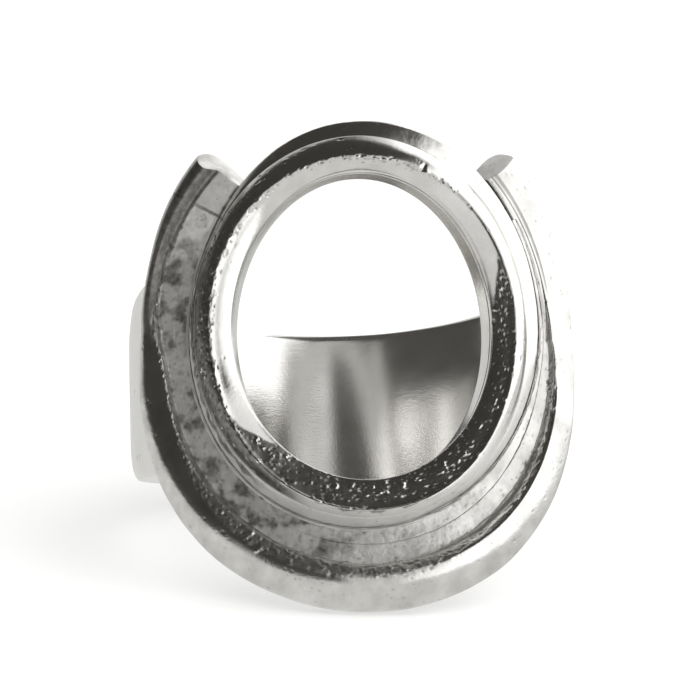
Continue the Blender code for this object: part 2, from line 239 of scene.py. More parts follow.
def foot_reach(theta):
    return np.maximum(FOOT_REACH, plate_reach(theta) + FOOT_MARGIN)


def wall_reach(theta):
    upper = knee(np.sin(theta) + 0.06)
    left = leftward(theta) * (WALL_REACH_UPPER_LEFT * upper + WALL_REACH_LEFT)
    return WALL_REACH + WALL_REACH_BOTTOM * below(theta) ** 0.6 + left


def edge_reach(theta):
    spread = EDGE_REACH_BOTTOM * below(theta) ** 1.15 + EDGE_REACH_TOP * above(theta) ** 2
    return EDGE_REACH + spread + EDGE_REACH_UPPER_LEFT * leftward(theta) * above(theta)


def edge_height(theta):
    right = EDGE_HEIGHT_RIGHT * np.maximum(0.0, np.cos(theta))
    return blend(theta, EDGE_HEIGHT_SIDE, EDGE_HEIGHT_BOTTOM) + right


def crest_reach(theta):
    wall = wall_reach(theta)
    share = CREST_SHARE - CREST_SHARE_LEFT * np.cos(theta)
    return wall + share * (edge_reach(theta) - wall)


def right_arm(theta):
    """1 along the upper right arm of the crescent, 0 elsewhere."""
    upper = knee(np.sin(theta) + 0.12)
    return upper * np.clip(2.0 * np.cos(theta), 0.0, 1.0)


def crest_height(theta):
    middle = blend(theta, CREST_HEIGHT_SIDE, CREST_HEIGHT_BOTTOM)
    return middle + RIGHT_ARM_CREST * right_arm(theta)


def floor_height(theta):
    middle = blend(theta, FLOOR_HEIGHT_SIDE, FLOOR_HEIGHT_BOTTOM)
    return middle + RIGHT_ARM_FLOOR * right_arm(theta)


def bent(across, up, height):
    """Points of the front, bent round the finger."""
    angle = across / FRONT_BEND_RADIUS
    radius = FRONT_BEND_RADIUS + height
    y = FRONT_BACK_Y + FRONT_BEND_RADIUS - radius * np.cos(angle)
    return np.stack(np.broadcast_arrays(radius * np.sin(angle), y, up), -1)


def front_points(theta, reach, height):
    cos_t = np.cos(theta)
    sin_t = np.sin(theta)
    nx = EYE_HALF_HEIGHT * cos_t
    ny = EYE_HALF_WIDTH * sin_t
    length = np.hypot(nx, ny)
    across = EYE_HALF_WIDTH * cos_t + reach * nx / length
    up = EYE_CENTRE_Z + EYE_HALF_HEIGHT * sin_t + reach * ny / length
    return bent(across, up, height)


# ---------------------------------------------------------------- skins of swept sections
def stack_section(theta, points):
    """(stations, points, 2) from a list of (reach, height) whose items may vary with theta."""
    ones = np.ones_like(theta)
    return np.stack([np.stack([r * ones, h * ones], -1) for r, h in points], 1)


def rounded(control, times):
    """Cut the corners of closed section polygons."""
    for _ in range(times):
        following = np.roll(control, -1, axis=1)
        first = control * 0.75 + following * 0.25
        second = control * 0.25 + following * 0.75
        control = np.stack([first, second], 2).reshape(control.shape[0], -1, 2)
    return control


def resampled(control, count):
    """Even spacing along each closed section polygon."""
    loop = np.concatenate([control, control[:, :1]], 1)
    steps = np.linalg.norm(np.diff(loop, axis=1), axis=2)
    run = np.concatenate([np.zeros((len(loop), 1)), np.cumsum(steps, 1)], 1)
    out = np.empty((len(loop), count, 2))
    share = np.arange(count) / count
    for i in range(len(loop)):
        at = share * run[i, -1]
        out[i, :, 0] = np.interp(at, run[i], loop[i, :, 0])
        out[i, :, 1] = np.interp(at, run[i], loop[i, :, 1])
    return out


class Skin:
    """A grid of points round a swept piece, its normals and its surface masks."""

    def __init__(self, theta, section, points, closed):
        self.theta = theta
        self.reach = section[..., 0]
        self.height = section[..., 1]
        self.points = points
        self.closed = closed
        self.tarnish_and_shade = np.zeros(points.shape[:2])
        self.coarse = np.zeros(points.shape[:2])
        self.normals = self._normals()

    def _normals(self):
        if self.closed:
            along = np.roll(self.points, -1, 0) - np.roll(self.points, 1, 0)
        else:
            along = np.gradient(self.points, axis=0)
        across = np.roll(self.points, -1, 1) - np.roll(self.points, 1, 1)
        normal = np.cross(along, across)
        normal /= np.maximum(np.linalg.norm(normal, axis=2), 1e-12)[..., None]
        outward = self.points - self.points.mean(1)[:, None]
        return normal if (normal * outward).sum() > 0 else -normal

    def push(self, amount):
        """Move the surface along its normals, in millimetres."""
        self.points = self.points + self.normals * amount[..., None]

    def settle(self):
        self.normals = self._normals()


def front_skin(section_of, start, end, stations, count, closed, soften=2):
    if closed:
        theta = start + (end - start) * np.arange(stations) / stations
    else:
        theta = np.linspace(start, end, stations)
    section = resampled(rounded(section_of(theta), soften), count)
    points = front_points(theta[:, None], section[..., 0], section[..., 1])
    return Skin(theta, section, points, closed)


CAP_SHRINK = (0.985, 0.955, 0.90, 0.80, 0.66, 0.50, 0.33, 0.16)


def cap_rings(points, outward, crown, grain, seed):
    """Rings that close an open end, a little rounded at the edge, then a centre point."""
    middle = points.mean(0)
    rings = []
    for share in CAP_SHRINK:
        lift = crown * math.sqrt(1 - share ** 2)
        ring = middle + (points - middle) * share + outward * lift
        ring = ring + outward * (grain * layered(ring, 0.5, seed))[:, None]
        rings.append(ring)
    return rings, middle + outward * crown


def make_object(name, skin, node, material, crowns=(5e-4, 5e-4), grain=0.002):
    stations, count = skin.points.shape[:2]
    verts = [skin.points.reshape(-1, 3)]
    tarnish_and_shade = [skin.tarnish_and_shade.reshape(-1)]
    coarse = [skin.coarse.reshape(-1)]
    j = np.arange(count)
    k = (j + 1) % count
    rows = np.arange(stations if skin.closed else stations - 1)
    a = rows[:, None] * count
    b = ((rows + 1) % stations)[:, None] * count
    quads = np.stack([a + j, a + k, b + k, b + j], -1).reshape(-1, 4)
    faces = [quads]
    triangles = []
    if not skin.closed:
        total = stations * count
        ends = ((0, 1, -1), (stations - 1, stations - 2, 1))
        for seed, (last, before, way) in enumerate(ends):
            crown = crowns[seed]
            edge = skin.points[last]
            outward = (edge - skin.points[before]).mean(0)
            outward /= np.linalg.norm(outward)
            rings, centre = cap_rings(edge, outward, crown, grain * (crown > 0.01), 31 + seed)
            previous = last * count + j
            for ring in rings:
                verts.append(ring)
                tarnish_and_shade.append(np.clip(0.15 + 0.4 * perlin(ring, 0.7, 35), 0, 1))
                coarse.append(np.full(count, 0.75))
                current = total + j
                total += count
                band = np.stack(
                    [previous, previous[k], current[k], current]
                    if way > 0
                    else [previous, current, current[k], previous[k]],
                    -1,
                )
                faces.append(band)
                previous = current
            verts.append(centre[None])
            tarnish_and_shade.append(np.full(1, 0.05))
            coarse.append(np.full(1, 0.75))
            fan = np.stack(
                [previous, previous[k], np.full(count, total)]
                if way > 0
                else [previous, np.full(count, total), previous[k]],
                -1,
            )
            triangles.append(fan)
            total += 1
    verts = np.concatenate(verts)
    quads = np.concatenate(faces)
    tris = np.concatenate(triangles) if triangles else np.zeros((0, 3), int)
    mesh = bpy.data.meshes.new(name)
    mesh.vertices.add(len(verts))
    mesh.vertices.foreach_set("co", (verts * MM).astype(np.float32).ravel())
    mesh.loops.add(quads.size + tris.size)
    loops = np.concatenate([quads.ravel(), tris.ravel()]).astype(np.int32)
    mesh.loops.foreach_set("vertex_index", loops)
    mesh.polygons.add(len(quads) + len(tris))
    starts = np.concatenate(
        [np.arange(len(quads)) * 4, quads.size + np.arange(len(tris)) * 3]
    ).astype(np.int32)
    mesh.polygons.foreach_set("loop_start", starts)
    mesh.update(calc_edges=True)
    mesh.validate()
    for label, values in (("tarnish_and_shade", tarnish_and_shade), ("coarse", coarse)):
        layer = mesh.attributes.new(label, "FLOAT", "POINT")
        layer.data.foreach_set("value", np.concatenate(values).astype(np.float32))
    mesh.transform(POSE)
    if signed_volume(mesh) < 0:
        mesh.flip_normals()
    mesh.shade_smooth()
    if not skin.closed:
        pairs = np.empty(len(mesh.edges) * 2, np.int32)
        mesh.edges.foreach_get("vertices", pairs)
        row = pairs.reshape(-1, 2) // count
        border = (row[:, 0] == row[:, 1]) & ((row[:, 0] == 0) | (row[:, 0] == stations - 1))
        mesh.attributes.new("sharp_edge", "BOOLEAN", "EDGE").data.foreach_set("value", border)
    mesh.materials.append(material)
    piece = bpy.data.objects.new(name, mesh)
    bpy.context.scene.collection.objects.link(piece)
    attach(piece, "root")
    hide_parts(node)
    return piece


def signed_volume(mesh):
    co = np.empty(len(mesh.vertices) * 3, np.float32)
    mesh.vertices.foreach_get("co", co)
    co = co.reshape(-1, 3).astype(float)
    co = co - co.mean(0)
    mesh.calc_loop_triangles()
    tri = np.empty(len(mesh.loop_triangles) * 3, np.int32)
    mesh.loop_triangles.foreach_get("vertices", tri)
    a, b, c = (co[tri.reshape(-1, 3)[:, i]] for i in range(3))
    return float((a * np.cross(b, c)).sum())


# ---------------------------------------------------------------- small marks in the metal
def stamp_pits(skin, where, count, size, depth, seed, raised=0.0):
    """Dig small craters and raise some beads; where holds the chance of each grid point."""
    rng = np.random.RandomState(seed)
    stations, around = skin.points.shape[:2]
    chance = np.clip(where, 0.0, None).ravel()
    if chance.sum() <= 0:
        return
    picks = rng.choice(chance.size, size=count, p=chance / chance.sum())
    dent = np.zeros((stations, around))
    for pick in picks:
        i, j = divmod(int(pick), around)
        radius = size * rng.uniform(0.5, 1.6)
        stretch = rng.uniform(0.7, 2.2)
        here = skin.points[i, j]
        span_i = np.linalg.norm(skin.points[(i + 1) % stations, j] - here) + 1e-6
        span_j = np.linalg.norm(skin.points[i, (j + 1) % around] - here) + 1e-6
        reach_i = int(min(40, radius * stretch * 2.2 / span_i)) + 1
        reach_j = int(min(30, radius * 2.2 / span_j)) + 1
        rows = np.arange(i - reach_i, i + reach_i + 1)
        if skin.closed:
            rows %= stations
        else:
            rows = rows[(rows >= 0) & (rows < stations)]
        cols = np.arange(j - reach_j, j + reach_j + 1) % around
        offset_i = np.minimum(abs(rows - i), stations - abs(rows - i)) if skin.closed else rows - i
        offset_j = np.minimum(abs(cols - j), around - abs(cols - j))
        away = (
            (offset_i[:, None] * span_i / stretch) ** 2 + (offset_j[None, :] * span_j) ** 2
        ) / radius ** 2
        sign = 1.0 if rng.rand() < raised else -1.0
        mark = sign * rng.uniform(0.4, 1.0) * depth * np.exp(-away * 1.6)
        window = np.ix_(rows, cols)
        dent[window] = np.where(abs(mark) > abs(dent[window]), mark, dent[window])
    skin.push(dent)
    skin.tarnish_and_shade = np.maximum(skin.tarnish_and_shade, np.clip(-dent / max(depth, 1e-6), 0, 1) * 0.8)


# ---------------------------------------------------------------- metals
class Nodes:
    """Short helpers for building a node tree."""

    def __init__(self, tree):
        self.tree = tree
        tree.nodes.clear()

    def add(self, kind, **values):
        node = self.tree.nodes.new(kind)
        for key, value in values.items():
            setattr(node, key, value)
        return node

    def link(self, source, target):
        self.tree.links.new(source, target)

    def math(self, operation, first, second=None, clamp=False):
        node = self.add("ShaderNodeMath", operation=operation, use_clamp=clamp)
        for slot, value in zip(node.inputs, (first, second)):
            if value is None:
                continue
            if isinstance(value, (int, float)):
                slot.default_value = value
            else:
                self.link(value, slot)
        return node.outputs[0]

    def noise(self, coords, scale, detail=3.0, rough=0.5, stretch=None):
        if stretch:
            mapping = self.add("ShaderNodeMapping")
            mapping.inputs["Scale"].default_value = stretch
            self.link(coords, mapping.inputs["Vector"])
            coords = mapping.outputs[0]
        node = self.add("ShaderNodeTexNoise")
        node.inputs["Scale"].default_value = scale
        node.inputs["Detail"].default_value = detail
        node.inputs["Roughness"].default_value = rough
        self.link(coords, node.inputs["Vector"])
        return node.outputs["Fac"]

    def ramp(self, value, stops):
        node = self.add("ShaderNodeValToRGB")
        elements = node.color_ramp.elements
        while len(elements) < len(stops):
            elements.new(0.5)
        for element, (position, colour) in zip(elements, stops):
            element.position = position
            element.color = colour if len(colour) == 4 else (*colour, 1.0)
        self.link(value, node.inputs[0])
        return node.outputs[0]

    def mix(self, share, first, second):
        node = self.add("ShaderNodeMix", data_type="RGBA")
        if isinstance(share, (int, float)):
            node.inputs["Factor"].default_value = share
        else:
            self.link(share, node.inputs["Factor"])
        for slot, value in ((node.inputs[6], first), (node.inputs[7], second)):
            if isinstance(value, tuple):
                slot.default_value = (*value, 1.0) if len(value) == 3 else value
            else:
                self.link(value, slot)
        return node.outputs[2]


# dark tone for tarnish in pits and for painted shade
TARNISH_AND_SHADE_TONE = (0.10, 0.092, 0.080)


def silver(name, bright, dull, polish, matte, grain, scratches, chalk=0.4):
    """Worked silver: bright where polished, dull and grainy where coarse, dark with tarnish in pits
    and with painted shade in set zones.
    """
    material = bpy.data.materials.new(name)
    material.use_nodes = True
    n = Nodes(material.node_tree)
    out = n.add("ShaderNodeOutputMaterial")
    shader = n.add("ShaderNodeBsdfPrincipled")
    n.link(shader.outputs[0], out.inputs[0])
    place = n.add("ShaderNodeTexCoord").outputs["Object"]
    tarnish_and_shade = n.add("ShaderNodeAttribute", attribute_name="tarnish_and_shade").outputs["Fac"]
    coarse = n.add("ShaderNodeAttribute", attribute_name="coarse").outputs["Fac"]
    blotch = n.noise(place, 700.0, 4.0, 0.55)
    mottle = n.noise(place, 3200.0, 3.0, 0.6)
    fine = n.noise(place, 9000.0, 2.0, 0.6)
    lines = n.noise(place, 1500.0, 2.0, 0.5, stretch=(1.0, 1.0, 14.0))

    spotted = n.math("MULTIPLY", n.ramp(mottle, [(0.42, (0, 0, 0)), (0.62, (1, 1, 1))]), coarse)
    base = n.mix(n.ramp(blotch, [(0.35, (0, 0, 0)), (0.7, (1, 1, 1))]), bright, dull)
    base = n.mix(n.math("MULTIPLY", spotted, 0.55), base, dull)
    # darkening share from the attribute: tarnish in pits and painted shade
    darkening = n.math("MULTIPLY", tarnish_and_shade, n.ramp(mottle, [(0.2, (0.6,) * 3), (0.7, (1, 1, 1))]))
    base = n.mix(n.math("MINIMUM", darkening, 1.0), base, TARNISH_AND_SHADE_TONE)
    n.link(base, shader.inputs["Base Color"])
    matt = n.math("MULTIPLY", n.math("SUBTRACT", coarse, 0.3, clamp=True), chalk * 1.4)
    metallic = n.math("SUBTRACT", 1.0, matt)
    n.link(metallic, shader.inputs["Metallic"])

    rough = n.math("MULTIPLY", coarse, matte - polish)
    rough = n.math("ADD", rough, polish)
    rough = n.math("ADD", rough, n.math("MULTIPLY", n.math("SUBTRACT", blotch, 0.5), 0.12))
    rough = n.math("ADD", rough, n.math("MULTIPLY", tarnish_and_shade, 0.25), clamp=True)
    n.link(n.math("MAXIMUM", rough, 0.05), shader.inputs["Roughness"])

    relief = n.math("MULTIPLY", fine, n.math("ADD", n.math("MULTIPLY", coarse, grain), 0.10))
    relief = n.math("ADD", relief, n.math("MULTIPLY", mottle, 0.35 * grain))
    relief = n.math("ADD", relief, n.math("MULTIPLY", lines, scratches))
    bumped = n.add("ShaderNodeBump")
    bumped.inputs["Strength"].default_value = 0.35
    bumped.inputs["Distance"].default_value = 0.00003
    n.link(relief, bumped.inputs["Height"])
    n.link(bumped.outputs[0], shader.inputs["Normal"])
    return material


WHITE_SILVER = (0.82, 0.81, 0.79)
SILVER = (0.80, 0.79, 0.77)
PALE = (0.70, 0.69, 0.67)
GREY = (0.58, 0.57, 0.55)

# bright and dull colour, roughness when polished and when coarse, grain, scratches, chalkiness
METAL = {
    "oval_hoop": silver("hoop_metal", SILVER, PALE, 0.13, 0.36, 1.2, 0.10, 1.0),
    "hoop_plate": silver("plate_metal", SILVER, PALE, 0.15, 0.40, 1.2, 0.12, 1.0),
    "crescent_floor": silver("floor_metal", SILVER, GREY, 0.17, 0.66, 2.6, 0.10, 0.7),
    "crescent_rim": silver("rim_metal", SILVER, GREY, 0.17, 0.66, 2.6, 0.10, 0.7),
    "left_tip": silver("left_tip_metal", SILVER, GREY, 0.18, 0.42, 1.0, 0.10, 0.6),
    "right_tip": silver("right_tip_metal", SILVER, GREY, 0.18, 0.42, 1.0, 0.10, 1.0),
    "hoop_solder": silver("solder_metal", SILVER, GREY, 0.17, 0.60, 1.6, 0.05, 0.6),
    "shank_band": silver("band_metal", WHITE_SILVER, SILVER, 0.06, 0.30, 0.4, 0.16, 0.35),
}


# ---------------------------------------------------------------- hoop and base plate
def hoop_section(theta):
    e = hoop_reach(theta)
    r = ridge_reach(theta)
    fall = e - r
    foot = PLATE_HEIGHT + 0.008
    top = HOOP_HEIGHT
    return stack_section(theta, [
        (0.0, foot), (0.0, foot + 0.03), (0.0, foot + 0.20), (0.03, foot + 0.30),
        (r * 0.45, foot + 0.56), (r - 0.14, top - 0.15), (r - 0.02, top - 0.04),
        (r + 0.10 * fall, top), (r + 0.26 * fall, top - 0.06), (r + 0.48 * fall, top - 0.20),
        (r + 0.72 * fall, top - 0.42), (r + 0.92 * fall, top - 0.68), (e, foot + 0.03),
        (e, foot + 0.01), (e - 0.01, foot),
    ])


def plate_section(theta):
    e = plate_reach(theta)
    h = hoop_reach(theta)
    top = PLATE_HEIGHT
    drop = top - floor_height(theta) - 0.03
    return stack_section(theta, [
        (0.16, 0.0), (0.03, 0.06), (0.0, 0.16), (0.0, top - 0.02), (0.0, top),
        (h - 0.10, top), (h, top - 0.01), (h * 0.68 + e * 0.32, top - 0.24 * drop),
        (h * 0.36 + e * 0.64, top - 0.58 * drop), (e - 0.03, top - 0.94 * drop),
        (e - 0.004, top - drop), (e, top - 1.15 * drop), (e, 0.22), (e - 0.04, 0.06),
        (e - 0.18, 0.0),
    ])


def hoop():
    """The raised oval ring: torn and pitted round the ridge, smooth bevel, matt lower lip."""
    skin = front_skin(hoop_section, 0.0, 2 * math.pi, 900, 120, True)
    p = skin.points
    theta = skin.theta[:, None]
    ridge = ridge_reach(theta)
    low = step(0.15, 0.75, -np.sin(theta))
    up = step(1.32, 1.55, skin.height)
    skin.push((perlin(p, 5.0, 1) * 0.05 + perlin(p, 2.0, 2) * 0.020) * up)
    jag = 0.13 * perlin(p, 0.9, 3) + 0.08 * perlin(p, 0.35, 4)
    turn = np.degrees(theta) % 360
    # rough on the whole outer face at the left, on the inner bevel below and at the right
    left = step(88, 135, turn) * (1 - step(238, 254, turn))
    outer_rough = left * step(-0.08, 0.04, skin.reach - ridge + jag)
    outer_rough = outer_rough * (0.35 + 0.65 * step(125, 150, turn))
    spread = np.where(turn > 180, step(208, 236, turn), 1 - step(6, 34, turn))
    inner_edge = ridge * (1 - spread) + 0.06
    inner_rough = step(-0.06, 0.04, ridge - skin.reach + jag)
    inner_rough = inner_rough * step(-0.08, 0.06, skin.reach - inner_edge + 0.6 * jag)
    inner_rough = inner_rough * np.where(turn > 180, step(205, 214, turn), 1 - step(30, 42, turn))
    zone = np.clip(np.maximum(outer_rough, inner_rough), 0, 1) * up
    # curls of metal and small nicks in the rough zone, pits elsewhere
    patchy = step(-0.25, 0.45, perlin(p, 1.3, 10))
    curls = np.clip(layered(p, 0.40, 7, 3) - 0.42, 0, 0.35) * 0.16 * (0.25 + 0.75 * patchy)
    nicks = np.clip(perlin(p, 0.24, 9) - 0.42, 0, 0.5) * -0.12 * patchy
    skin.push((curls + nicks + layered(p, 0.8, 8, 2) * 0.010) * zone)
    flecks = step(0.0, 0.02, curls * zone)
    skin.push(perlin(p, 0.6, 12) * 0.003 * up)
    stamp_pits(skin, zone, 420, 0.05, 0.045, 5, raised=0.3)
    torn = bump(0.0, 0.10, skin.reach - ridge + 0.5 * jag) * up * step(35, 60, turn)
    stamp_pits(skin, torn * (1 - step(215, 235, turn)), 240, 0.045, 0.045, 13, raised=0.35)
    stamp_pits(skin, up * step(0.3, 0.6, skin.reach), 90, 0.05, 0.03, 6)
    # one cut across the ridge at the upper right
    notch = bump(1.19, 0.010, theta % (2 * math.pi)) * bump(0.05, 0.24, skin.reach - ridge)
    skin.push(-0.08 * notch * up)
    # matt on the lower outer face and on the bevel beside the rough zone
    matt = step(0.0, 0.08, skin.reach - ridge) * low
    soft = np.where(turn > 180, step(198, 210, turn), 1 - step(54, 72, turn))
    bevel = step(0.02, 0.10, ridge - skin.reach) * step(1.5, 1.7, skin.height)
    matt = np.maximum(matt, soft * bevel)
    top_face = step(0.0, 0.1, skin.reach - ridge) * step(55, 85, turn) * (1 - step(150, 175, turn))
    skin.coarse = zone * 0.15 + 0.75 * matt * (1 - zone) + 0.05
    skin.coarse = np.clip(skin.coarse + 0.10 * top_face, 0, 1)
    # darkening of the rough zone: tarnish, with painted shade added on the left and lower left
    darkening = zone * (0.22 + 0.38 * step(150, 175, turn) * (1 - step(240, 262, turn)))
    darkening = darkening + 0.25 * outer_rough * up * step(180, 195, turn)
    skin.tarnish_and_shade = np.clip(skin.tarnish_and_shade * 0.9 + darkening * (1 - flecks), 0, 1)
    skin.settle()
    return make_object("oval_hoop_fine", skin, "oval_hoop", METAL["oval_hoop"])


def plate():
    """The oval washer under the hoop: pitted and darkened with painted shade close to the hoop at
    the left, a matt lip below.
    """
    skin = front_skin(plate_section, 0.0, 2 * math.pi, 720, 84, True)
    p = skin.points
    side = step(1.3, 1.7, skin.reach)
    skin.push((perlin(p, 3.0, 21) * 0.035 + perlin(p, 0.7, 22) * 0.008) * side)
    stamp_pits(skin, side, 160, 0.06, 0.03, 7)
    skin.push(layered(p, 0.35, 23, 2) * 0.004 * side)
    turn = np.degrees(skin.theta[:, None]) % 360
    # pitted band close to the hoop on the left, also darkened below as painted shade
    pitted_shaded = side * step(140, 160, turn) * (1 - step(222, 240, turn))
    pitted_shaded = pitted_shaded * (1 - step(2.0, 2.1, skin.reach + 0.1 * perlin(p, 0.5, 24)))
    stamp_pits(skin, pitted_shaded, 300, 0.05, 0.035, 25, raised=0.4)
    lip = side * step(148, 165, turn) * (1 - step(345, 358, turn)) * (1 - pitted_shaded)
    top_face = side * step(55, 85, turn) * (1 - step(150, 175, turn))
    skin.coarse = 0.10 + 0.68 * lip + top_face * (0.14 + 0.08 * perlin(p, 0.7, 26))
    over_floor = skin.height - floor_height(skin.theta)[:, None]
    # painted shade: darker where the plate slope meets the channel floor, and in the pitted band at
    # the left
    foot = side * (1 - step(0.0, 0.05, over_floor))
    skin.tarnish_and_shade = np.maximum(skin.tarnish_and_shade * 0.6 + 0.5 * pitted_shaded, foot * 0.15)
    skin.settle()
    return make_object("hoop_plate_fine", skin, "hoop_plate", METAL["hoop_plate"])


# ---------------------------------------------------------------- crescent
def floor_section(theta):
    inner = plate_reach(theta) + 0.004
    outer = foot_reach(theta) - 0.003
    top = floor_height(theta)
    proud = 0.034 * below(theta) ** 6 - 0.014
    return stack_section(theta, [
        (inner, 0.0), (inner, top - 0.06), (inner + 0.03, top - 0.01),
        ((inner + outer) / 2, top - 0.02), (outer - 0.04, top + proud),
        (outer - 0.005, top + proud), (outer, top + proud - 0.02), (outer, 0.0),
    ])


def step_rise(theta):
    """Height of the inner step, which dies out along the upper half of both arms."""
    faded = 0.85 * knee(np.sin(theta) - 0.20 + 0.10 * np.cos(theta))
    faded = faded + 0.12 * right_arm(theta)
    return blend(theta, STEP_RISE_SIDE, STEP_RISE_BOTTOM) * (1.0 - faded)


def rim_line(theta):
    """The rim's surface from the channel over the inner step and the crest to the outer side."""
    foot = foot_reach(theta) + 0.003
    wall = wall_reach(theta)
    crest = crest_reach(theta)
    edge = edge_reach(theta)
    low = floor_height(theta)
    rise = step_rise(theta)
    ledge = low + rise + 0.045 * right_arm(theta)
    high = crest_height(theta)
    shoulder = wall + np.minimum(0.20, 0.5 * (crest - wall))
    fall = edge - crest
    edge_high = edge_height(theta)
    drop = high - edge_high
    return [
        (foot - 0.05, low - 0.012),
        (foot + 0.02, low),
        (wall - 0.06, low + 0.02),
        (wall + 0.01, low + 0.03 + 0.08 * rise),
        (wall * 0.75 + shoulder * 0.25, low + 0.5 * rise),
        (wall * 0.5 + shoulder * 0.5, ledge - 0.14 * rise),
        (shoulder, ledge),
        (shoulder * 0.5 + crest * 0.5, ledge + 0.60 * (high - ledge)),
        (crest - 0.04 * fall, high),
        (crest + 0.16 * fall, high - 0.02 * drop),
        (crest + 0.40 * fall, high - blend(theta, 0.09, 0.15) * drop),
        (crest + 0.75 * fall, high - 0.50 * drop),
        (edge - 0.04, edge_high + blend(theta, 0.07, 0.20)),
        (edge, edge_high - 0.06),
        (edge - 0.04, 0.36),
        (edge - 0.16, 0.16),
        (edge - 0.38, 0.0),
    ]


def rim_section(theta):
    foot = foot_reach(theta) + 0.003
    start = [(foot - 0.06, 0.0), (foot - 0.06, floor_height(theta) - 0.05)]
    return stack_section(theta, start + rim_line(theta))


def tip_section(theta):
    """The tips are solid down to the base plate, with no separate floor."""
    inner = plate_reach(theta) + GAP
    edge = edge_reach(theta)
    low = floor_height(theta)
    start = [(inner + 0.60, 0.0), (inner + 0.16, 0.08), (inner, low - 0.16),
             (inner + 0.03, low - 0.01)]
    end = [(edge - 0.10, 0.36), (edge - 0.36, 0.14), (edge - 0.75, 0.0)]
    return stack_section(theta, start + rim_line(theta)[2:-3] + end)


def bead_section(theta):
    inner = plate_reach(theta) + 0.004
    low = floor_height(theta) - 0.02
    size = 1.0 - 0.85 * right_arm(theta)
    high = low + 0.03 + 0.10 * size
    width = np.minimum(0.18, foot_reach(theta) - inner)
    return stack_section(theta, [
        (inner, low), (inner + width, low), (inner + 0.65 * width, low + 0.2 * (high - low)),
        (inner + 0.3 * width, low + 0.5 * (high - low)), (inner + 0.02, high), (inner, high),
    ])


CRESCENT_FROM = math.pi - SEAM_ANGLE
CRESCENT_TO = 2 * math.pi + SEAM_ANGLE


def stains_and_shade(points, theta):
    """Dark spots in the channel, plus painted shade: the spots and an even darkening are strong on
    the left and fade towards the tips and the right.
    """
    spots = step(-0.2, 0.6, layered(points, 0.8, 66, 3)) * 0.75
    spots += step(0.2, 0.6, layered(points, 0.35, 67, 2)) * 0.3
    left = step(-0.35, 0.35, -np.cos(theta))
    tip = step(0.25, 0.65, np.sin(theta))
    return 0.04 + (spots + 0.20) * (0.10 + 0.90 * left) * (1 - 0.80 * tip)


def channel_coarse(theta):
    """The channel is matte, palest towards the left tip and smoother on the right."""
    rightward = step(-0.1, 0.6, np.cos(theta))
    return 0.5 - 0.3 * rightward + 0.35 * step(0.25, 0.6, np.sin(theta)) * (1 - rightward)


def weathered(skin, seed, marks):
    """Matte grainy channel, rough inner step, smooth rolled crest and outer side."""
    p = skin.points
    theta = skin.theta[:, None] if skin.theta.ndim == 1 else skin.theta
    wall = wall_reach(theta)
    crest = crest_reach(theta)
    front = step(0.30, 0.45, skin.height)
    sine = np.sin(theta)
    calm = right_arm(theta)
    jag = 0.10 * perlin(p, 0.8, 40) + 0.07 * perlin(p, 0.3, 41)
    channel = front * (1 - step(-0.05, 0.05, skin.reach - wall))
    after = skin.reach - wall + jag
    low_left = step(0.45, 0.95, below(theta)) * (1 - step(0.15, 0.55, np.cos(theta)))
    width = 0.20 + low_left * 0.75 + 0.08 * below(theta)
    rough = front * step(-0.06, 0.04, after) * (1 - step(width * 0.75, width, after))
    rough = rough * (1 - 0.95 * calm) * (1 - step(0.25, 0.55, sine))
    streaks = step(0.0, 0.3, perlin(p, 1.8, 49)) * step(-0.45, 0.1, sine)
    rough = rough * np.where(np.cos(theta) < 0, 1 - 0.75 * streaks, 1.0)
    outer = front * step(0.0, 0.2, skin.reach - crest)
    skin.push((perlin(p, 4.0, 42) * 0.045 + perlin(p, 1.6, 43) * 0.018) * front)
    skin.push(layered(p, 0.34, 44, 3) * 0.009 * channel * (1 - 0.7 * calm))
    patchy = step(-0.25, 0.45, perlin(p, 1.2, 45))
    curls = np.clip(layered(p, 0.38, 46, 3) - 0.40, 0, 0.35) * 0.17 * (0.25 + 0.75 * patchy)
    nicks = np.clip(perlin(p, 0.24, 47) - 0.40, 0, 0.5) * -0.12 * patchy
    skin.push((curls + nicks + layered(p, 0.8, 48, 2) * 0.012 - 0.010) * rough)
    flecks = step(0.0, 0.02, curls * rough)
    if marks:
        stamp_pits(skin, rough, int(620 * marks), 0.055, 0.050, seed, raised=0.45)
        stamp_pits(skin, channel, int(300 * marks), 0.040, 0.016, seed + 1, raised=0.4)
        stamp_pits(skin, outer, int(150 * marks), 0.045, 0.028, seed + 2)
    skin.coarse = np.clip(channel * channel_coarse(theta) + rough * 0.15 + 0.08, 0, 1)
    # painted shade: beyond the wall on the upper left arm the crest and outer side are darkened in
    # place of a dark reflection; they are also made rougher, most near the outer edge
    upper_left = step(-0.1, 0.15, sine) * step(0.0, 0.4, -np.cos(theta))
    edge = edge_reach(theta)
    line = step(wall, wall + 0.08, skin.reach + jag) * upper_left * front
    outermost = step(edge - 0.34, edge - 0.16, skin.reach + 0.3 * jag)
    skin.coarse = np.clip(skin.coarse + 0.25 * line + 0.6 * line * outermost, 0, 1)
    line = line * (1 - outermost)
    # darker rough band: tarnish, plus painted shade on the lower left
    darkening = rough * (0.25 + 0.30 * step(0.0, 0.6, -np.cos(theta)) * below(theta)) * (1 - flecks)
    # painted shade in the inner corner next to the base plate
    corner = (1 - step(0.04, 0.16, skin.reach - plate_reach(theta))) * front
    darkening = darkening + channel * stains_and_shade(p, theta)
    skin.tarnish_and_shade = np.clip(skin.tarnish_and_shade * 0.8 + darkening + 0.85 * line + 0.9 * corner, 0, 1)


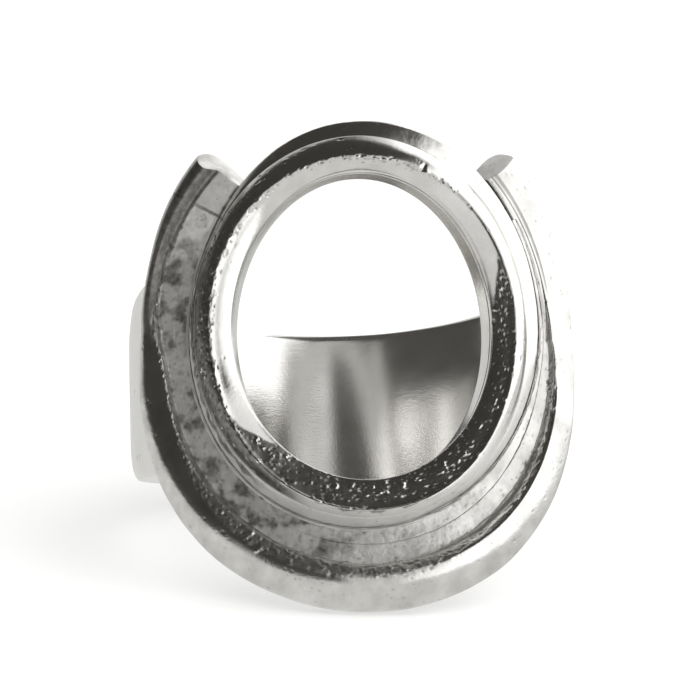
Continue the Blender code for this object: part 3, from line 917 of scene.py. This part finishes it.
def crescent():
    """The rim, the channel floor and the solder bead between floor and base plate."""
    rim = front_skin(rim_section, CRESCENT_FROM, CRESCENT_TO, 840, 150, False)
    weathered(rim, 48, 1.0)
    rim.settle()
    make_object("crescent_rim_fine", rim, "crescent_rim", METAL["crescent_rim"])
    base = front_skin(floor_section, CRESCENT_FROM, CRESCENT_TO, 700, 44, False, soften=1)
    p = base.points
    top = step(0.25, 0.4, base.height)
    base.push((layered(p, 0.35, 60, 3) * 0.012 + perlin(p, 1.8, 63) * 0.02) * top)
    stamp_pits(base, top, 260, 0.05, 0.025, 64)
    base.coarse = channel_coarse(base.theta[:, None]) + 0.08 + 0 * base.reach
    base.tarnish_and_shade = np.clip(base.tarnish_and_shade * 0.6 + stains_and_shade(p, base.theta[:, None]), 0, 1)
    base.settle()
    make_object("crescent_floor_fine", base, "crescent_floor", METAL["crescent_floor"])
    bead = front_skin(bead_section, CRESCENT_FROM, CRESCENT_TO, 700, 22, False, soften=1)
    p = bead.points
    bead.push(layered(p, 0.5, 70, 3) * 0.016)
    bead.coarse = channel_coarse(bead.theta[:, None]) + 0.03 + 0 * bead.reach
    bead.tarnish_and_shade = np.clip(0.05 + 0.20 * perlin(p, 0.8, 73), 0.0, 0.4)
    bead.settle()
    make_object("hoop_solder_fine", bead, "hoop_solder", METAL["hoop_solder"])


def slanted_skin(start, end, slant_from, slant_to, stations, count, side):
    """Skin of a tip whose back runs further on than its crest."""
    share = np.linspace(0.0, 1.0, stations)
    angle = start + (end - start) * share
    slant = slant_from + (slant_to - slant_from) * share
    near = angle if side > 0 else math.pi - angle
    section = resampled(rounded(tip_section(near), 2), count)
    fall = 1.0 - section[..., 1] / CREST_HEIGHT_SIDE
    turned = angle[:, None] + slant[:, None] * fall
    theta = turned if side > 0 else math.pi - turned
    points = front_points(theta, section[..., 0], section[..., 1])
    return Skin(theta, section, points, False)


def tips():
    """Both upturned tips and the solder seams that hold them."""
    for side, word, end in ((-1, "left", LEFT_TIP_ANGLE), (1, "right", RIGHT_TIP_ANGLE)):
        start = SEAM_ANGLE + SEAM_THICKNESS
        skin = slanted_skin(start, end, 0.0, TIP_SLANT, 60, 130, side)
        weathered(skin, 80 + 10 * side, 0.06)
        skin.settle()
        make_object(
            word + "_tip_fine", skin, word + "_tip", METAL[word + "_tip"], (5e-4, 0.06), 0.012
        )
        seam = slanted_skin(
            SEAM_ANGLE + 2e-4, SEAM_ANGLE + SEAM_THICKNESS - 2e-4, 0.0, 0.0, 5, 130, side
        )
        weathered(seam, 0, 0)
        if side < 0:
            seam.push(layered(seam.points, 0.4, 90 + side, 2) * 0.006 - 0.020)
            seam.tarnish_and_shade = np.clip(0.85 + 0.4 * perlin(seam.points, 0.7, 91), 0.0, 1.0)
        seam.settle()
        node = word + "_tip_solder"
        make_object(node + "_fine", seam, node, METAL[word + "_tip"], (5e-4, 5e-4))


# ---------------------------------------------------------------- the band
def leg_length(radius, stop):
    start_x = radius * math.sin(BAND_LEG_ANGLE)
    start_y = -radius * math.cos(BAND_LEG_ANGLE) - (FRONT_BACK_Y + FRONT_BEND_RADIUS)
    step_x = -math.cos(BAND_LEG_ANGLE)
    step_y = -math.sin(BAND_LEG_ANGLE)
    half_b = start_x * step_x + start_y * step_y
    c = start_x ** 2 + start_y ** 2 - stop ** 2
    return -half_b + np.sqrt(half_b ** 2 - c)


def band_plan(station, radius):
    """Plan position on the band and how much it is turned; -1 left end, 0 back, 1 right end."""
    travel = np.abs(station)
    side = np.where(station < 0, -1.0, 1.0)
    arc_share = 0.86
    angle = math.pi - (math.pi - BAND_LEG_ANGLE) * np.minimum(travel / arc_share, 1.0)
    leg = np.clip((travel - arc_share) / (1 - arc_share), 0, 1)
    stop = FRONT_BEND_RADIUS - PAD_THICKNESS - 2 * GAP
    along = leg_length(radius, stop) * leg
    x = radius * np.sin(angle) - along * math.cos(BAND_LEG_ANGLE)
    y = -radius * np.cos(angle) - along * math.sin(BAND_LEG_ANGLE)
    return side * x, y, 1.0 - leg


def band_low(y):
    return BAND_LOW + BAND_LOW_RISE * y


def band():
    """The wide shank round the finger, rounded outside and wider towards the front."""
    inner, outer = FINGER_RADIUS, FINGER_RADIUS + BAND_THICKNESS
    station = np.linspace(-1.0, 1.0, 460)
    control = stack_section(station, [
        (inner, 0.03), (inner, 0.10), (inner, 0.92), (inner, 0.985),
        (inner + 0.05, 0.997), (inner + 0.22, 1.0),
        (outer - BAND_CROWN_TOP - 0.05, 1.0), (outer - BAND_CROWN_TOP + 0.06, 0.992),
        (outer - 0.35 * BAND_CROWN_TOP, 0.93), (outer - 0.02, 0.78),
        (outer, 0.70), (outer, 0.20), (outer - 0.02, 0.12),
        (outer - 0.35 * BAND_CROWN_LOW, 0.045), (outer - BAND_CROWN_LOW + 0.05, 0.006),
        (outer - BAND_CROWN_LOW - 0.06, 0.0), (inner + 0.30, 0.0), (inner + 0.10, 0.006),
    ])
    control[..., 1] *= 9.0
    section = resampled(rounded(control, 2), 120)
    radius = section[..., 0]
    x, y, turned = band_plan(station[:, None], radius)
    low = band_low(y)
    up = low + (BAND_TOP - low) * section[..., 1] / 9.0
    points = np.stack([x - BAND_ROLL * up * turned, y, up + BAND_ROLL * x], -1)
    skin = Skin(station, section, points, False)
    p = skin.points
    skin.push(perlin(p, 6.0, 101) * 0.030 + perlin(p, 2.2, 102) * 0.006)
    outside = step(inner + 0.8, outer - 0.1, skin.reach)
    stamp_pits(skin, outside, 60, 0.05, 0.02, 103)
    skin.coarse = 0.40 + 0.30 * outside
    skin.settle()
    make_object("shank_band_fine", skin, "shank_band", METAL["shank_band"])


def pads():
    """Solder between the band's ends and the back of the front."""
    inner, outer = FINGER_RADIUS, FINGER_RADIUS + BAND_THICKNESS
    centre_y = FRONT_BACK_Y + FRONT_BEND_RADIUS
    ends = [band_plan(np.array(1.0), r) for r in (inner, outer)]
    spans = [FRONT_BEND_RADIUS * math.atan2(x, centre_y - y) for x, y, _ in ends]
    start, end = min(spans) - PAD_MARGIN, max(spans) + PAD_MARGIN
    low, high = -GAP - PAD_THICKNESS, -GAP
    middle_x, middle_y, _ = band_plan(np.array(1.0), (inner + outer) / 2)
    share = np.linspace(0.0, 1.0, 160)
    height = BAND_TOP - band_low(middle_y) + 2 * PAD_MARGIN
    down = (1.0 - share) * height
    end = end - PAD_CORNER * np.clip(1.0 - down / PAD_CORNER_RISE, 0.0, 1.0) ** 1.5
    control = stack_section(share, [
        (start + 0.04, low + 0.14), (start, high - 0.04), (start + 0.06, high),
        (end - 0.06, high), (end, high - 0.04), (end - 0.04, low + 0.14),
        (end - 0.14, low + 0.02), (start + 0.14, low + 0.02),
    ])
    section = resampled(rounded(control, 2), 60)
    for side, word in ((-1, "left"), (1, "right")):
        lift = BAND_ROLL * middle_x * side
        bottom = band_low(middle_y) + lift - PAD_MARGIN
        up = bottom + (BAND_TOP + lift + PAD_MARGIN - bottom) * share
        points = bent(side * section[..., 0], up[:, None], section[..., 1])
        skin = Skin(up, section, points, False)
        p = skin.points
        skin.push(layered(p, 0.6, 110 + side, 3) * 0.03 - 0.01)
        skin.coarse[:] = 0.7
        skin.tarnish_and_shade = np.clip(0.3 + 0.3 * perlin(p, 0.7, 112), 0, 0.7)
        skin.settle()
        node = word + "_band_solder"
        make_object(node + "_fine", skin, node, METAL["hoop_solder"])


hoop()
plate()
crescent()
tips()
band()
pads()


# ---------------------------------------------------------------- camera
CAMERA_AZIMUTH = math.radians(-6.0)
CAMERA_ELEVATION = math.radians(-14.0)
CAMERA_DISTANCE = 0.2
CAMERA_LENS = 214.3


def camera_axes():
    a, e = CAMERA_AZIMUTH, CAMERA_ELEVATION
    back = Vector((math.sin(a) * math.cos(e), -math.cos(a) * math.cos(e), math.sin(e)))
    right = Vector((math.cos(a), math.sin(a), 0.0))
    turn = POSE.to_3x3()
    return turn @ right, turn @ back.cross(right), turn @ back


RIGHT, UP, BACK = camera_axes()


def make_camera():
    data = bpy.data.cameras.new("photo_camera")
    data.lens = CAMERA_LENS
    data.sensor_width = 36.0
    data.clip_start = 0.005
    data.clip_end = 5.0
    camera = bpy.data.objects.new("photo_camera", data)
    bpy.context.scene.collection.objects.link(camera)
    target = POSE @ Vector((0.0, -11.45 * MM, 0.16 * MM))
    target = target - RIGHT * 0.744 * MM - UP * 0.96 * MM
    matrix = Matrix((RIGHT, UP, BACK)).transposed().to_4x4()
    matrix.translation = target + BACK * CAMERA_DISTANCE
    camera.matrix_world = matrix
    bpy.context.scene.camera = camera


make_camera()


# ---------------------------------------------------------------- floor and light
def make_floor():
    size = 0.6
    mesh = bpy.data.meshes.new("floor")
    corners = [(-size, -size, 0), (size, -size, 0), (size, size, 0), (-size, size, 0)]
    mesh.from_pydata(corners, [], [(0, 1, 2, 3)])
    floor = bpy.data.objects.new("floor", mesh)
    bpy.context.scene.collection.objects.link(floor)
    material = bpy.data.materials.new("pale_floor")
    material.use_nodes = True
    n = Nodes(material.node_tree)
    out = n.add("ShaderNodeOutputMaterial")
    matt = n.add("ShaderNodeBsdfDiffuse")
    matt.inputs["Color"].default_value = (0.50, 0.50, 0.495, 1.0)
    glow = n.add("ShaderNodeEmission")
    glow.inputs["Color"].default_value = (1.0, 1.0, 0.995, 1.0)
    glow.inputs["Strength"].default_value = 0.52
    both = n.add("ShaderNodeAddShader")
    n.link(matt.outputs[0], both.inputs[0])
    n.link(glow.outputs[0], both.inputs[1])
    mirrored = n.add("ShaderNodeEmission")
    mirrored.inputs["Color"].default_value = (0.74, 0.74, 0.725, 1.0)
    choose = n.add("ShaderNodeMixShader")
    n.link(n.add("ShaderNodeLightPath").outputs["Is Glossy Ray"], choose.inputs[0])
    n.link(both.outputs[0], choose.inputs[1])
    n.link(mirrored.outputs[0], choose.inputs[2])
    n.link(choose.outputs[0], out.inputs["Surface"])
    mesh.materials.append(material)


def make_world():
    """A pale room with a dark upper left and a white window on the right, seen in the metal."""
    world = bpy.data.worlds.new("studio")
    bpy.context.scene.world = world
    world.use_nodes = True
    n = Nodes(world.node_tree)
    out = n.add("ShaderNodeOutputWorld")
    direction = n.add("ShaderNodeTexCoord").outputs["Generated"]

    def along(axis):
        node = n.add("ShaderNodeVectorMath", operation="DOT_PRODUCT")
        n.link(direction, node.inputs[0])
        node.inputs[1].default_value = axis
        return node.outputs["Value"]

    def edge(value, low, high):
        node = n.add("ShaderNodeMapRange", interpolation_type="SMOOTHSTEP")
        n.link(value, node.inputs["Value"])
        node.inputs["From Min"].default_value = low
        node.inputs["From Max"].default_value = high
        return node.outputs["Result"]

    x, y, z = along(RIGHT), along(UP), along(BACK)
    # angles in degrees away from the viewer, to the right and upwards
    away = n.math("MULTIPLY", n.math("ARCCOSINE", n.math("MULTIPLY", z, 0.99999)), 57.2958)
    flat = n.math("SQRT", n.math("SUBTRACT", 1.00001, n.math("MULTIPLY", z, z)))
    across = n.math("MULTIPLY", away, n.math("DIVIDE", x, flat))
    over = n.math("MULTIPLY", away, n.math("DIVIDE", y, flat))

    def both(first, second):
        return n.math("MULTIPLY", first, second)

    light_grey = (0.66, 0.66, 0.645)
    colour = n.mix(edge(across, -60.0, 60.0), light_grey, (0.76, 0.76, 0.745))
    # white window on the right
    window = both(edge(across, 22.0, 42.0), edge(over, -34.0, -16.0))
    colour = n.mix(window, colour, (1.55, 1.55, 1.54))
    # dark upper left; its border on the right swings up behind the ring
    turn = n.math("MULTIPLY", n.math("ARCTAN2", over, across), 57.2958)
    border = n.math("ADD", n.math("MULTIPLY", edge(away, 90.0, 114.0), 28.0), 57.0)
    past = n.math("SUBTRACT", turn, border)
    dark = both(edge(past, -7.0, 7.0), edge(over, 0.0, 9.0))
    dark = both(dark, both(edge(away, 30.0, 37.0), edge(away, 128.0, 116.0)))
    colour = n.mix(dark, colour, (0.050, 0.047, 0.042))
    # the dark shape of the viewer
    viewer = both(edge(across, -34.0, -24.0), edge(across, 10.0, 2.0))
    viewer = both(viewer, both(edge(over, -14.0, -4.0), edge(over, 60.0, 40.0)))
    colour = n.mix(viewer, colour, (0.05, 0.048, 0.045))
    # white backdrop
    colour = n.mix(edge(away, 135.0, 152.0), colour, (0.75, 0.75, 0.74))

    seen = n.add("ShaderNodeBackground")
    seen.inputs["Color"].default_value = (1.0, 1.0, 1.0, 1.0)
    lit = n.add("ShaderNodeBackground")
    n.link(colour, lit.inputs["Color"])
    choose = n.add("ShaderNodeMixShader")
    n.link(n.add("ShaderNodeLightPath").outputs["Is Camera Ray"], choose.inputs[0])
    n.link(lit.outputs[0], choose.inputs[1])
    n.link(seen.outputs[0], choose.inputs[2])
    n.link(choose.outputs[0], out.inputs["Surface"])


def make_sun(energy):
    """Soft light from high up, kept out of the reflections."""
    data = bpy.data.lights.new("overhead", "SUN")
    data.energy = energy
    data.angle = math.radians(100.0)
    sun = bpy.data.objects.new("overhead", data)
    bpy.context.scene.collection.objects.link(sun)
    sun.rotation_euler = (math.radians(8.0), math.radians(5.0), 0.0)
    sun.visible_glossy = False
    sun.visible_camera = False


make_floor()
make_world()
make_sun(2.4)

view = bpy.context.scene.view_settings
view.view_transform = "Standard"
view.look = "None"
view.exposure = 0.0
